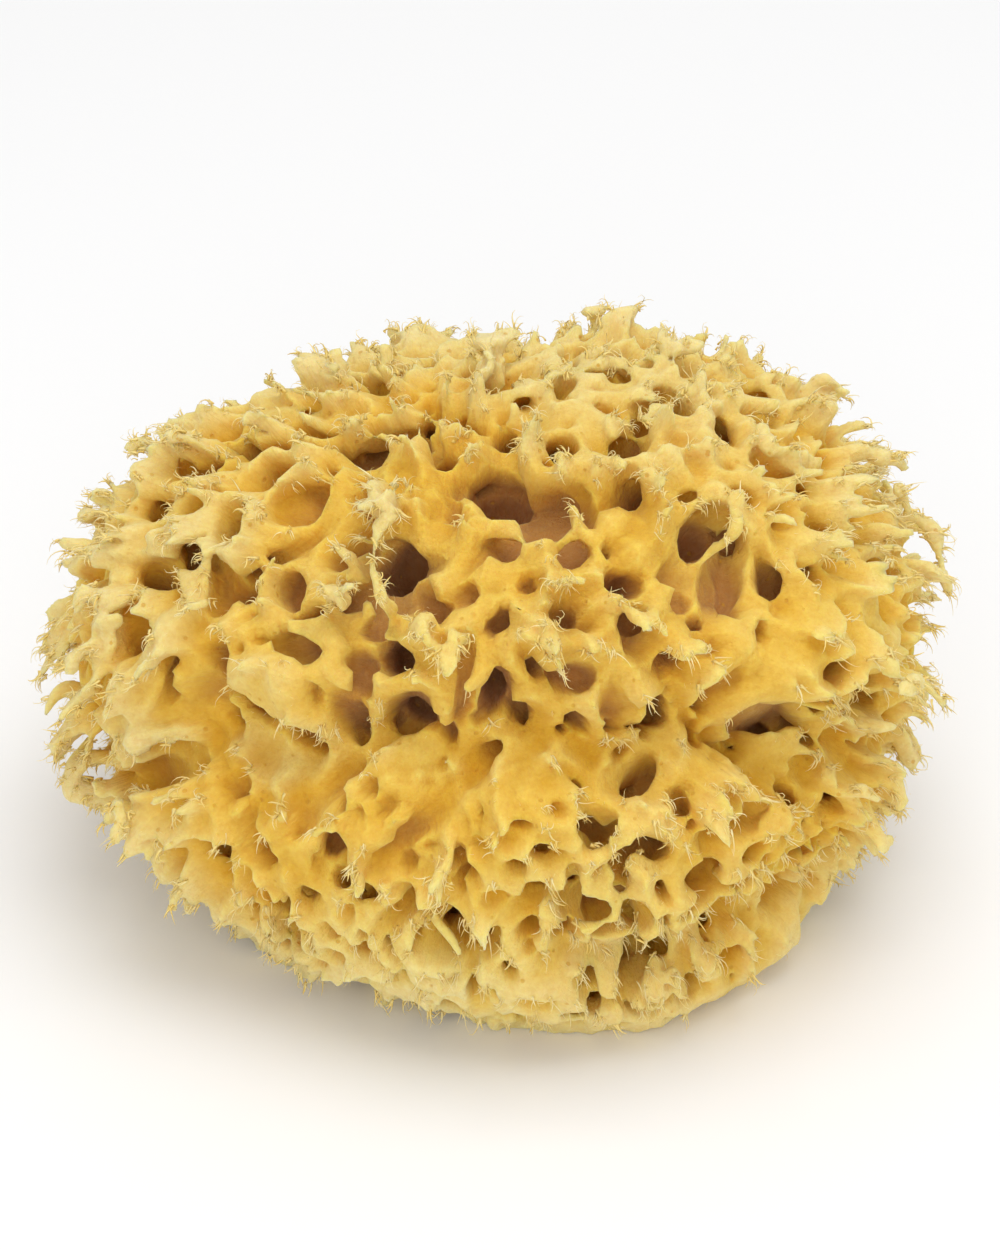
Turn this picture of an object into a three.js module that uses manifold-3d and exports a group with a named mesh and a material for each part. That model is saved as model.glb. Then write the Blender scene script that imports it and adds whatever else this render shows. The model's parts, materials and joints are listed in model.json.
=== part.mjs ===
// A honeycomb bath sponge: the dried, springy skeleton of a sea sponge, grown as one piece and cut flat at its root.
// Millimetres, +Z up. The origin lies on the cut, at the middle of the outline, and -Y is the front.
// The solid is the envelope of the tuft tips. The wide canals that open on it are cut in, and so are those in the cut.
import * as THREE from "three";
import { mergeVertices } from "three/addons/utils/BufferGeometryUtils.js";
import Module from "manifold-3d";

const wasm = await Module();
wasm.setup();

// The whole sponge.
const HALF_WIDTH = 74.5;
const HALF_DEPTH = 61;
const HEIGHT = 91;
const CORE = new THREE.Vector3(-0.7, -1.0, 41); // middle of the body, at its widest level
const ROOT_SHARE = 0.68; // width of the cut over the full width
const LEAN = 0.085; // rise of the right side, per millimetre from the middle
const SKIN_DETAIL = 12; // subdivisions of the icosahedron that makes the skin

// Broad swellings and hollows of the body: azimuth from the front towards the right and elevation seen from the
// core, angular spread, and height above the plain shape (negative for a hollow).
const LOBES = [
  { azimuth: 50, elevation: 45, spread: 32, height: 2.5 }, // right shoulder
  { azimuth: -110, elevation: 28, spread: 25, height: 4.5 }, // left shoulder, behind
  { azimuth: 114, elevation: 34, spread: 24, height: 2.0 }, // right shoulder, behind
  { azimuth: 148, elevation: 42, spread: 14, height: 4.0 }, // knoll at the back of the crown
  { azimuth: -150, elevation: 35, spread: 40, height: 2.0 }, // back left
  { azimuth: 150, elevation: 25, spread: 40, height: 2.0 }, // back right
  { azimuth: 28, elevation: -32, spread: 26, height: 5.5 }, // lip of the root, front right
  { azimuth: 78, elevation: -22, spread: 24, height: 2.5 }, // low on the right side
  { azimuth: -48, elevation: 15, spread: 22, height: -1.5 }, // front left cheek
  { azimuth: -82, elevation: -28, spread: 20, height: -6.0 }, // undercut of the left side
];

// Small knobs all over the skin, where the tufts stand.
const KNOB_HEIGHT = 2.2;
const KNOB_PITCH = 17;

// The furrow under the crown's overhang, and the groove above the lip of the root: tilted planes that crease the
// front, at a level over the core. They wander up and down by their sway, and end at their reach round the body.
const FURROW = { tilt: 35, level: -14.5, sway: 2.5, depth: 7, halfWidth: 7, azimuth: 4, reach: 74 };
const ROOT_GROOVE = { tilt: 10, level: -29, sway: 1, depth: 5, halfWidth: 4, azimuth: 38, reach: 30 };
const SWAY_TURN = 32; // degrees round the body from one rise of a crease to the next

// Canals that open on the skin. The first list is the wide ones of the front, as azimuth, elevation, mouth radius
// and depth. The others stand on a spiral round the body, wherever there is room.
const FRONT_CANALS = [
  { azimuth: 10, elevation: 69, radius: 4.6, depth: 26 },
  { azimuth: -30, elevation: 52, radius: 5.2, depth: 26 },
  { azimuth: -44, elevation: 76, radius: 2.8, depth: 20 },
  { azimuth: -78, elevation: 62, radius: 3.9, depth: 12 },
  { azimuth: 52, elevation: 42, radius: 3.4, depth: 24 },
  { azimuth: 35, elevation: 41, radius: 2.4, depth: 20 },
  { azimuth: -57, elevation: 34, radius: 2.9, depth: 22 },
  { azimuth: -44, elevation: 38, radius: 2.1, depth: 16 },
  { azimuth: -20, elevation: 34, radius: 3.9, depth: 24 },
  { azimuth: 2, elevation: 27, radius: 3.2, depth: 22 },
  { azimuth: -17, elevation: 20, radius: 3.4, depth: 20 },
  { azimuth: 19, elevation: 21, radius: 2.2, depth: 16 },
  { azimuth: -53, elevation: 23, radius: 3.8, depth: 18 },
  { azimuth: 53, elevation: 31, radius: 3.4, depth: 18 },
  { azimuth: 66, elevation: 64, radius: 3.2, depth: 16 },
  { azimuth: 23, elevation: 51, radius: 3.1, depth: 16 },
  { azimuth: 89, elevation: 48, radius: 3.5, depth: 12 },
  { azimuth: -89, elevation: 34, radius: 3.4, depth: 12 },
  { azimuth: -24, elevation: 2, radius: 3.0, depth: 20 },
  { azimuth: -2, elevation: 13, radius: 2.2, depth: 14 },
  { azimuth: -38, elevation: -3, radius: 2.9, depth: 14 },
  { azimuth: 47, elevation: -3, radius: 2.8, depth: 16 },
  { azimuth: 26, elevation: -1, radius: 2.5, depth: 22 },
  { azimuth: 17, elevation: 3, radius: 2.2, depth: 16 },
  { azimuth: 8, elevation: -5, radius: 2.1, depth: 18 },
  { azimuth: 20, elevation: -14, radius: 3.8, depth: 14 },
  { azimuth: 61, elevation: 15, radius: 2.4, depth: 12 },
  { azimuth: -71, elevation: 18, radius: 2.6, depth: 12 },
];
const SPIRAL_CANALS = 46;
const SPIRAL_RADII = [3.4, 2.5, 2.9, 2.2];
const SPIRAL_DEPTHS = [18, 13, 22, 15];
const CANAL_WALL = 6; // least material between the mouths of two canals
const CANAL_SIDES = 7;
const MOUTH_FLARE = 1.6; // radius on the skin over the radius of the canal
const FUNNEL = 5; // depth of the flared mouth
const CANAL_TAPER = 0.72; // radius at the blind end over the radius under the funnel

// Canals that the cut has opened: rings round the middle of the cut face.
const CUT_RINGS = [
  { distance: 15, count: 4, radius: 3.0, depth: 13 },
  { distance: 31, count: 8, radius: 3.4, depth: 15 },
];
const CUT_STRETCH = 1.12; // width of a ring over its depth

const GOLDEN_TURN = 180 * (3 - Math.sqrt(5));
const OUTSIDE = 12; // how far a cutter stands out of the skin

// Unit vector seen from the core, from degrees.
function direction(azimuth, elevation) {
  const a = THREE.MathUtils.degToRad(azimuth);
  const e = THREE.MathUtils.degToRad(elevation);
  return new THREE.Vector3(Math.sin(a) * Math.cos(e), -Math.cos(a) * Math.cos(e), Math.sin(e));
}

function azimuthOf(d) {
  return THREE.MathUtils.radToDeg(Math.atan2(d.x, -d.y));
}

function bell(x) {
  return Math.exp(-x * x);
}

// How much a crease takes off at a point of the skin: full on its plane, nothing past its reach round the body.
function creaseDepth(crease, point, d) {
  const tilt = THREE.MathUtils.degToRad(crease.tilt);
  const azimuth = azimuthOf(d);
  const sway = crease.sway * Math.sin((2 * Math.PI * azimuth) / SWAY_TURN);
  const level = (point.z - CORE.z) * Math.cos(tilt) + point.y * Math.sin(tilt) - crease.level - sway;
  const turned = (azimuth - crease.azimuth) / crease.reach;
  return crease.depth * bell(level / crease.halfWidth) * bell(turned ** 4);
}

// The plain shape without its cut: distance of the skin from the core along d.
function plainRadius(d) {
  const above = HEIGHT - CORE.z;
  const below = CORE.z / Math.sqrt(1 - ROOT_SHARE ** 2);
  const scaled = new THREE.Vector3(d.x / HALF_WIDTH, d.y / HALF_DEPTH, d.z / (d.z > 0 ? above : below));
  let radius = 1 / scaled.length();
  for (const lobe of LOBES) {
    const angle = THREE.MathUtils.radToDeg(d.angleTo(direction(lobe.azimuth, lobe.elevation)));
    radius += lobe.height * bell(angle / lobe.spread);
  }
  return radius;
}

// A point of the skin, or one at the given depth under it, with the body's lean.
function skinPoint(d, depth = 0) {
  const point = d.clone().multiplyScalar(plainRadius(d)).add(CORE);
  const k = (2 * Math.PI) / KNOB_PITCH;
  const knob = KNOB_HEIGHT * Math.sin(k * point.x) * Math.sin(k * point.y + 1) * Math.sin(k * point.z + 2);
  const creases = creaseDepth(FURROW, point, d) + creaseDepth(ROOT_GROOVE, point, d);
  point.addScaledVector(d, knob - creases - depth);
  const raised = THREE.MathUtils.smoothstep(point.z, 0, CORE.z);
  point.z += LEAN * point.x * raised;
  return point;
}

// A three.js geometry as a manifold-3d solid.
function solidOf(geometry) {
  const bare = geometry.clone();
  bare.deleteAttribute("normal");
  bare.deleteAttribute("uv");
  const merged = mergeVertices(bare, 1e-4);
  return new wasm.Manifold(
    new wasm.Mesh({
      numProp: 3,
      vertProperties: new Float32Array(merged.attributes.position.array),
      triVerts: new Uint32Array(merged.index.array),
    }),
  );
}

// The skin: an icosahedron's vertices moved onto the envelope.
function bodySolid() {
  const geometry = new THREE.IcosahedronGeometry(1, SKIN_DETAIL);
  const position = geometry.attributes.position;
  const d = new THREE.Vector3();
  for (let i = 0; i < position.count; i++) {
    d.fromBufferAttribute(position, i).normalize();
    position.setXYZ(i, ...skinPoint(d).toArray());
  }
  return solidOf(geometry);
}

// Everything below the cut.
function rootBlock() {
  const side = 4 * HALF_WIDTH;
  const block = new THREE.BoxGeometry(side, side, CORE.z).translate(0, 0, -CORE.z / 2);
  return solidOf(block);
}

// A canal from inside to outside: a turned, tapering, round-ended cutter whose axis runs along from -> to.
function canalCutter(from, to, radius) {
  const length = from.distanceTo(to);
  const blind = radius * CANAL_TAPER;
  const profile = [
    new THREE.Vector2(0, 0),
    new THREE.Vector2(blind * 0.8, blind * 0.35),
    new THREE.Vector2(blind, blind),
    new THREE.Vector2(radius, length - OUTSIDE - FUNNEL),
    new THREE.Vector2(radius * MOUTH_FLARE, length - OUTSIDE),
    new THREE.Vector2(radius * MOUTH_FLARE, length),
    new THREE.Vector2(0, length),
  ];
  const along = to.clone().sub(from).normalize();
  const turn = new THREE.Quaternion().setFromUnitVectors(new THREE.Vector3(0, 1, 0), along);
  const place = new THREE.Matrix4().compose(from, turn, new THREE.Vector3(1, 1, 1));
  return solidOf(new THREE.LatheGeometry(profile, CANAL_SIDES).applyMatrix4(place));
}

// The canals of the spiral that stay clear of the canals already there and of the cut.
function spiralCanals(taken) {
  const added = [];
  for (let i = 0; i < SPIRAL_CANALS; i++) {
    const elevation = THREE.MathUtils.radToDeg(Math.asin(THREE.MathUtils.lerp(-0.45, 0.96, (i + 0.5) / SPIRAL_CANALS)));
    const azimuth = THREE.MathUtils.euclideanModulo(i * GOLDEN_TURN, 360) - 180;
    const radius = SPIRAL_RADII[i % SPIRAL_RADII.length];
    const mouth = skinPoint(direction(azimuth, elevation));
    const clear = [...taken, ...added].every((canal) => {
      const other = skinPoint(direction(canal.azimuth, canal.elevation));
      return other.distanceTo(mouth) > canal.radius + radius + CANAL_WALL;
    });
    if (clear && mouth.z > radius + CANAL_WALL) {
      added.push({ azimuth, elevation, radius, depth: SPIRAL_DEPTHS[i % SPIRAL_DEPTHS.length] });
    }
  }
  return added;
}

// The canals that show in the cut face, pointing up into the body.
function cutCanals() {
  return CUT_RINGS.flatMap((ring) =>
    Array.from({ length: ring.count }, (_, i) => {
      const turn = (2 * Math.PI * (i + 0.5)) / ring.count;
      const x = CUT_STRETCH * ring.distance * Math.cos(turn);
      const y = ring.distance * Math.sin(turn);
      return canalCutter(new THREE.Vector3(x, y, ring.depth), new THREE.Vector3(x, y, -OUTSIDE), ring.radius);
    }),
  );
}

function spongeSolid() {
  const canals = [...FRONT_CANALS, ...spiralCanals(FRONT_CANALS)];
  let solid = bodySolid().subtract(rootBlock());
  for (const { azimuth, elevation, radius, depth } of canals) {
    const d = direction(azimuth, elevation);
    solid = solid.subtract(canalCutter(skinPoint(d, depth), skinPoint(d, -OUTSIDE), radius));
  }
  for (const cutter of cutCanals()) {
    solid = solid.subtract(cutter);
  }
  return solid;
}

function spongeMesh() {
  const { vertProperties, triVerts } = spongeSolid().getMesh();
  const geometry = new THREE.BufferGeometry()
    .setAttribute("position", new THREE.BufferAttribute(vertProperties, 3))
    .setIndex(new THREE.BufferAttribute(triVerts, 1));
  geometry.computeVertexNormals();
  const fibre = new THREE.MeshStandardMaterial({ color: 0xdcb359, roughness: 0.92, metalness: 0 });
  const mesh = new THREE.Mesh(geometry, fibre);
  mesh.name = "sponge";
  return mesh;
}

const sponge = new THREE.Group();
sponge.add(spongeMesh());

export default sponge;
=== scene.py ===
"""A natural bath sponge with open canals, standing on its flat cut.

The script works in metres, with Z up. The skeleton is grown as a field on a lattice of points: the
canals and chambers are hollowed out of a solid envelope, and what is left between them is drawn out
into pointed tufts. Loose fibres are then set on the tufts.
"""

from __future__ import annotations

import json
import logging
import math
from dataclasses import dataclass, field
from enum import Enum

import bpy
import numpy as np
import openvdb
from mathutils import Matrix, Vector

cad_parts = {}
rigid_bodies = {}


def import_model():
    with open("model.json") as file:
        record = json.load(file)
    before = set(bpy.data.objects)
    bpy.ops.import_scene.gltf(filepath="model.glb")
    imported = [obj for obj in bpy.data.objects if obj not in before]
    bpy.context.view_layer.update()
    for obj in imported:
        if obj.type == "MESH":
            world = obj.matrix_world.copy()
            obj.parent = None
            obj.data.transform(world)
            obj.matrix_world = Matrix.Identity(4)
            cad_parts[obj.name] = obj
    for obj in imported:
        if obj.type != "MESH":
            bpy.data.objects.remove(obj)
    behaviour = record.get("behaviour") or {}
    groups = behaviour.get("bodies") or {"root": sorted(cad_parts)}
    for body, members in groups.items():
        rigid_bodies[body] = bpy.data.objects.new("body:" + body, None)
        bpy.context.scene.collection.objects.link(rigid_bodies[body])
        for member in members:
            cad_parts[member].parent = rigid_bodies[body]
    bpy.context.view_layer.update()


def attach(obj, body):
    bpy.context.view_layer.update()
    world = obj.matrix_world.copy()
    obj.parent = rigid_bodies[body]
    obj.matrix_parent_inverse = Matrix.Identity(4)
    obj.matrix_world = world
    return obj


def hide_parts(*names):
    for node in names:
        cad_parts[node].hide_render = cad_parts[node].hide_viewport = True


log = logging.getLogger("sponge")

MM = 0.001
GOLDEN_TURN = 180.0 * (3.0 - math.sqrt(5.0))

Colour = tuple[float, float, float, float]
Rod = tuple[np.ndarray, np.ndarray, float, float]
Socket = bpy.types.NodeSocket


def heading(azimuth: float, elevation: float) -> np.ndarray:
    """The unit vector of a direction in degrees; azimuth 0 is the front and 90 the right."""
    turn, rise = math.radians(azimuth), math.radians(elevation)
    return np.array([math.sin(turn) * math.cos(rise), -math.cos(turn) * math.cos(rise), math.sin(rise)])


def smoothstep(value: np.ndarray) -> np.ndarray:
    """A smooth ramp that is 0 up to 0 and 1 from 1 on."""
    ramp = np.clip(value, 0.0, 1.0)
    return ramp * ramp * (3.0 - 2.0 * ramp)


def bell(value: np.ndarray) -> np.ndarray:
    """A bell curve that is 1 at 0."""
    return np.exp(-(value**2))


def unit(rows: np.ndarray) -> np.ndarray:
    """The vectors along the last axis, brought to length 1."""
    return rows / np.linalg.norm(rows, axis=-1, keepdims=True)


def azimuth_of(aim: np.ndarray) -> np.ndarray:
    """The azimuths of directions, in degrees."""
    return np.degrees(np.arctan2(aim[..., 0], -aim[..., 1]))


def angle_from(aim: np.ndarray, azimuth: float, elevation: float) -> np.ndarray:
    """The angles in degrees between directions and the one of an azimuth and elevation."""
    middle = heading(azimuth, elevation).astype(aim.dtype)
    return np.degrees(np.arccos(np.clip(aim @ middle, -1.0, 1.0)))


def between(grid: np.ndarray, first: list[np.ndarray], part: list[np.ndarray]) -> np.ndarray:
    """A grid's values at places that lie between its points.

    Args:
        grid: one value for each point.
        first: for each axis, the number of the last point before each place.
        part: for each axis, how far past that point each place lies, from 0 to 1.

    Returns:
        One value for each place.
    """
    value = np.zeros(len(first[0]), np.float32)
    for corner in range(8):
        step = ((corner >> 2) & 1, (corner >> 1) & 1, corner & 1)
        share = np.ones(len(first[0]), np.float32)
        for axis in range(3):
            share *= part[axis] if step[axis] else 1.0 - part[axis]
        index = tuple(np.minimum(first[axis] + step[axis], grid.shape[axis] - 1) for axis in range(3))
        value += share * grid[index]
    return value


def mesh_piece(name: str, points: np.ndarray, faces: np.ndarray) -> bpy.types.Object:
    """A new mesh object made from points and faces, which is then the only one selected.

    Args:
        name: its name.
        points: rows of three numbers.
        faces: rows of point numbers.

    Returns:
        The object.
    """
    mesh = bpy.data.meshes.new(name)
    mesh.from_pydata(points.tolist(), [], faces.tolist())
    mesh.update()
    piece = bpy.data.objects.new(name, mesh)
    bpy.context.scene.collection.objects.link(piece)
    bpy.ops.object.select_all(action="DESELECT")
    bpy.context.view_layer.objects.active = piece
    piece.select_set(True)
    return piece


class Blend(Enum):
    """How one colour is laid over another."""

    OVER = "MIX"
    TINT = "MULTIPLY"


@dataclass(frozen=True)
class Mound:
    """A broad swelling of the envelope, or a hollow where its height is negative."""

    azimuth: float
    elevation: float
    spread: float  # in degrees
    height: float

    def rise(self, aim: np.ndarray) -> np.ndarray:
        """How far the mound lifts the envelope in each direction."""
        return self.height * bell(angle_from(aim, self.azimuth, self.elevation) / self.spread)


@dataclass(frozen=True)
class Crease:
    """A long groove that runs round part of the sponge at a tilted level."""

    tilt: float  # degrees by which it rises towards the front
    level: float  # its height over the core, square to the tilt
    sway: float  # how far it winds up and down
    depth: float
    half_width: float
    azimuth: float  # the middle of its length
    reach: float  # degrees that it runs to either side
    sway_turn: float = 32.0  # degrees from one wind to the next

    def sink(self, azimuth: np.ndarray, along: np.ndarray, above: np.ndarray) -> np.ndarray:
        """How deep the groove is.

        Args:
            azimuth: direction of each point in degrees.
            along: the points' Y.
            above: the points' height over the middle of the sponge.

        Returns:
            The depth at each point.
        """
        tilt = math.radians(self.tilt)
        sway = self.sway * np.sin(2.0 * np.pi * azimuth / self.sway_turn)
        level = above * math.cos(tilt) + along * math.sin(tilt) - self.level - sway
        turned = (azimuth - self.azimuth) / self.reach
        return self.depth * bell(level / self.half_width) * bell(turned**4)


@dataclass(frozen=True)
class Envelope:
    """The closed outer form that the tips of the tufts reach."""

    half_width: float = 74.5 * MM
    half_depth: float = 61 * MM
    height: float = 91 * MM
    core: tuple[float, float, float] = (-0.7 * MM, -1.0 * MM, 41 * MM)
    root_share: float = 0.68  # the width of the cut against the full width
    lean: float = 0.085  # how much higher the right side sits for its distance out
    mounds: tuple[Mound, ...] = (
        Mound(50, 45, 32, 2.5 * MM),
        Mound(-110, 28, 25, 4.5 * MM),
        Mound(114, 34, 24, 2.0 * MM),
        Mound(148, 42, 14, 4.0 * MM),
        Mound(-150, 35, 40, 2.0 * MM),
        Mound(150, 25, 40, 2.0 * MM),
        Mound(28, -32, 26, 5.5 * MM),
        Mound(-48, 15, 22, -1.5 * MM),
        Mound(78, -22, 24, 2.5 * MM),
        Mound(-82, -28, 20, -6.0 * MM),
    )
    furrow: Crease = Crease(
        tilt=35, level=-14.5 * MM, sway=2.5 * MM, depth=12.5 * MM, half_width=6.5 * MM, azimuth=4, reach=74
    )
    root_groove: Crease = Crease(
        tilt=10, level=-28 * MM, sway=1.0 * MM, depth=8.0 * MM, half_width=3.6 * MM, azimuth=40, reach=30
    )

    def radius(self, aim: np.ndarray) -> np.ndarray:
        """The distance from the core to the envelope.

        Args:
            aim: unit vectors, with the three numbers on the last axis.

        Returns:
            One distance for each vector.
        """
        above = self.height - self.core[2]
        below = self.core[2] / math.sqrt(1.0 - self.root_share**2)
        upright = np.where(aim[..., 2] > 0.0, above, below).astype(aim.dtype)
        scaled = (aim[..., 0] / self.half_width, aim[..., 1] / self.half_depth, aim[..., 2] / upright)
        out = 1.0 / np.sqrt(scaled[0] ** 2 + scaled[1] ** 2 + scaled[2] ** 2)
        for mound in self.mounds:
            out = out + mound.rise(aim)
        return out

    def creases(self, aim: np.ndarray, along: np.ndarray, above: np.ndarray) -> np.ndarray:
        """How deep the grooves are at points given by direction, Y and height over the core."""
        azimuth = azimuth_of(aim)
        return self.furrow.sink(azimuth, along, above) + self.root_groove.sink(azimuth, along, above)

    def skin(self, aim: np.ndarray, depth: float = 0.0) -> np.ndarray:
        """The point that lies a given depth under the envelope in a direction.

        Args:
            aim: one unit vector or many, with the three numbers on the last axis.
            depth: the depth.

        Returns:
            One point for each vector.
        """
        out = self.radius(aim)
        out = out - self.creases(aim, self.core[1] + aim[..., 1] * out, aim[..., 2] * out) - depth
        point = np.array(self.core) + aim * out[..., None]
        point[..., 2] += self.lean * point[..., 0] * smoothstep(point[..., 2] / self.core[2])
        return point

    def aim_from_core(self, x: np.ndarray, y: np.ndarray, z: np.ndarray) -> tuple[np.ndarray, np.ndarray]:
        """Directions and distances of points from the core, with the lean taken out.

        Args:
            x: the points' X.
            y: their Y.
            z: their Z.

        Returns:
            The unit vectors, and the distances.
        """
        level = z - self.lean * x * smoothstep(z / self.core[2])
        level = z - self.lean * x * smoothstep(level / self.core[2])
        away = np.stack([x - self.core[0], y - self.core[1], level - self.core[2]], axis=-1)
        distance = np.sqrt((away**2).sum(axis=-1)) + 1e-9
        return away / distance[..., None], distance


@dataclass(frozen=True)
class Canal:
    """One canal: where its mouth is, how wide and deep it is, and whether it is a main one."""

    azimuth: float
    elevation: float
    radius: float
    depth: float
    main: bool = False


@dataclass
class Mouths:
    """The canal mouths on the skin so far, which say where there is room for another."""

    places: np.ndarray
    widths: np.ndarray

    def room(self, place: np.ndarray, reach: float) -> bool:
        """Whether no mouth comes within a distance of a place."""
        return bool((np.linalg.norm(self.places - place, axis=1) > self.widths + reach).all())

    def add(self, place: np.ndarray, radius: float) -> None:
        """Takes in one more mouth."""
        self.places = np.vstack([self.places, place])
        self.widths = np.append(self.widths, radius)


@dataclass
class Lattice:
    """A block of evenly spaced points round the sponge."""

    pitch: float
    low: tuple[float, float, float] = (-79 * MM, -67 * MM, -2 * MM)
    high: tuple[float, float, float] = (79 * MM, 67 * MM, 97 * MM)
    axes: list[np.ndarray] = field(init=False)

    def __post_init__(self) -> None:
        """Lays the points out along each axis."""
        self.axes = [
            np.arange(first, last, self.pitch, dtype=np.float32) for first, last in zip(self.low, self.high)
        ]

    def points(self) -> list[np.ndarray]:
        """The X, Y and Z of every point."""
        return np.meshgrid(*self.axes, indexing="ij")

    def swell(self, size: float, rng: np.random.Generator) -> np.ndarray:
        """Smooth random hills and dips of about one size, with a spread of 1.

        Args:
            size: distance between the random heights that the hills are drawn through.
            rng: source of the heights.

        Returns:
            One value for each point.
        """
        weights = []
        for axis in self.axes:
            place = (axis - axis[0]) / size
            first = np.floor(place).astype(int)
            part = place - first
            spline = (
                (1 - part) ** 3 / 6,
                (3 * part**3 - 6 * part**2 + 4) / 6,
                (-3 * part**3 + 3 * part**2 + 3 * part + 1) / 6,
                part**3 / 6,
            )
            table = np.zeros((len(axis), int(place[-1]) + 4), np.float32)
            for step, share in enumerate(spline):
                table[np.arange(len(axis)), first + step] = share
            weights.append(table)
        heights = rng.standard_normal([table.shape[1] for table in weights]).astype(np.float32)
        hills = np.tensordot(weights[0], heights, (1, 0))
        hills = np.tensordot(hills, weights[1], (1, 1))
        hills = np.tensordot(hills, weights[2], (1, 1))
        return hills / hills.std()

    def block(self, low: np.ndarray, high: np.ndarray) -> tuple[slice, slice, slice] | None:
        """The part of the lattice that holds a box.

        Args:
            low: the box's lowest corner.
            high: its highest corner.

        Returns:
            A slice for each axis, or None where the box misses the lattice.
        """
        slices = []
        for axis, first, last in zip(self.axes, low, high):
            start = max(int((first - axis[0]) / self.pitch), 0)
            stop = min(int((last - axis[0]) / self.pitch) + 2, len(axis))
            if stop <= start:
                return None
            slices.append(slice(start, stop))
        return tuple(slices)


@dataclass
class Skeleton:
    """The one-piece body of the sponge: walls, canals, chambers and pointed tufts."""

    envelope: Envelope
    lattice: Lattice
    seed: int = 23
    relief: float = 9.0 * MM  # height of the tufts
    root_relief: float = 3.0 * MM  # and of those near the cut
    tip_width: float = 5.3 * MM  # what a wall loses in width up to its tip
    taper: float = 0.85
    blend: float = 0.6 * MM  # how softly passages meet
    far: float = 5.5 * MM  # the greatest distance that the grids follow
    warp: float = 1.6 * MM  # how far the web is bent
    droop: float = 3.0 * MM
    fringe_droop: float = 4.5 * MM  # the further droop along the lower front
    inset: float = -0.3 * MM
    core_depth: float = 18.5 * MM  # where the closed middle starts
    triangles: int = 190_000
    deep_share: float = 0.27  # the share of the triangles that lies deep
    deep: float = 0.95  # where deep starts, in steps of 10 mm
    canal_tries: int = 14_000
    furrow_tries: int = 9_000
    nick_tries: int = 26_000
    nick_gap: float = 1.7 * MM
    nick_blend: float = 0.3 * MM
    nick_reach: float = 0.8 * MM
    chambers: int = 360
    pores: int = 500
    opened: int = 44  # canals that the flat cut opens
    lowest_mouth: float = 1.5 * MM
    most_lip: float = 0.4  # no canal or notch opens where the lip is stronger
    fine_share: float = 0.36  # how much finer the web gets at the back
    # The main canals: azimuth and elevation of the mouth in degrees, radius and depth in mm.
    front: tuple[tuple[float, float, float, float], ...] = (
        (10, 69, 4.6, 26), (-30, 52, 5.2, 26), (-44, 76, 2.8, 20), (-78, 62, 3.9, 12),
        (52, 42, 3.4, 24), (35, 41, 2.4, 20), (-57, 34, 2.9, 22), (-44, 38, 2.1, 16),
        (-20, 34, 3.9, 24), (2, 27, 3.2, 22), (-17, 20, 3.4, 20), (19, 21, 2.2, 16),
        (-53, 23, 3.8, 18), (53, 31, 3.4, 18), (66, 64, 3.2, 16), (23, 51, 3.1, 16),
        (89, 48, 3.5, 12), (-89, 34, 3.4, 12), (-24, 2, 3.0, 20), (-2, 13, 2.2, 14),
        (-38, -3, 2.9, 14), (47, -3, 2.8, 16), (26, -1, 2.5, 22), (17, 3, 2.2, 16),
        (8, -5, 2.1, 18), (20, -14, 3.8, 14), (61, 15, 2.4, 12), (-71, 18, 2.6, 12),
        (33, -8, 1.9, 12), (40, -13, 1.6, 10), (12, -14, 1.7, 12), (29, -19, 1.5, 10),
        (36, -21, 1.6, 10), (22, -23, 1.8, 12), (45, -18, 1.5, 10), (31, 4, 1.6, 12),
        (38, 3, 1.5, 10), (5, -20, 1.5, 10), (52, -10, 1.7, 10), (44, 6, 1.6, 10),
    )
    # Where the tips reach less far than the envelope, and where a little farther.
    trims: tuple[Mound, ...] = (Mound(158, 42, 10, -3.0 * MM), Mound(114, 34, 20, 2.0 * MM))
    # The gaps behind the loop, and the loop itself from end to end: X, Z and radius in mm.
    windows: tuple[tuple[float, float, float], ...] = (
        (-65.9, 17.3, 1.5), (-64.4, 17.3, 1.5), (-65.3, 23.2, 1.0), (-64.3, 23.4, 1.0),
    )
    loop: tuple[tuple[float, float, float], ...] = (
        (-58.0, 20.0, 2.8), (-64.5, 19.6, 2.4), (-68.6, 20.6, 2.0), (-69.4, 22.6, 1.4),
        (-67.7, 25.2, 1.1), (-65.9, 27.4, 1.2), (-59.5, 27.2, 1.5),
    )
    loop_y: float = -10.0 * MM
    # The strands: azimuth, elevation and depth of either end, the depth and the radius in mm.
    strands: tuple[tuple[tuple[float, float, float], tuple[float, float, float], float], ...] = (
        ((-35, 58, 2), (-27, 45, 3), 0.7),
        ((5, 75, 2), (12, 62, 3), 0.7),
        ((8, 60, 3), (16, 70, 4), 0.6),
        ((-62, 27, 2), (-52, 19, 2), 0.6),
        ((48, 36, 2), (58, 27, 3), 0.6),
        ((-26, 36, 3), (-15, 33, 3), 0.5),
        ((30, 46, 3), (38, 38, 3), 0.5),
        ((93, 8, 1), (95, 14, -1), 0.9),
        ((95, 14, -1), (93, 20, 1), 0.9),
    )
    rng: np.random.Generator = field(init=False)
    aim: np.ndarray = field(init=False)
    depth: np.ndarray = field(init=False)
    floor: np.ndarray = field(init=False)
    fine: np.ndarray = field(init=False)
    plain: list[np.ndarray] = field(init=False)
    bent: list[np.ndarray] = field(init=False)
    hollow: np.ndarray = field(init=False)
    nicks: np.ndarray = field(init=False)
    wells: np.ndarray = field(init=False)
    mouths: Mouths = field(init=False)

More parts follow.
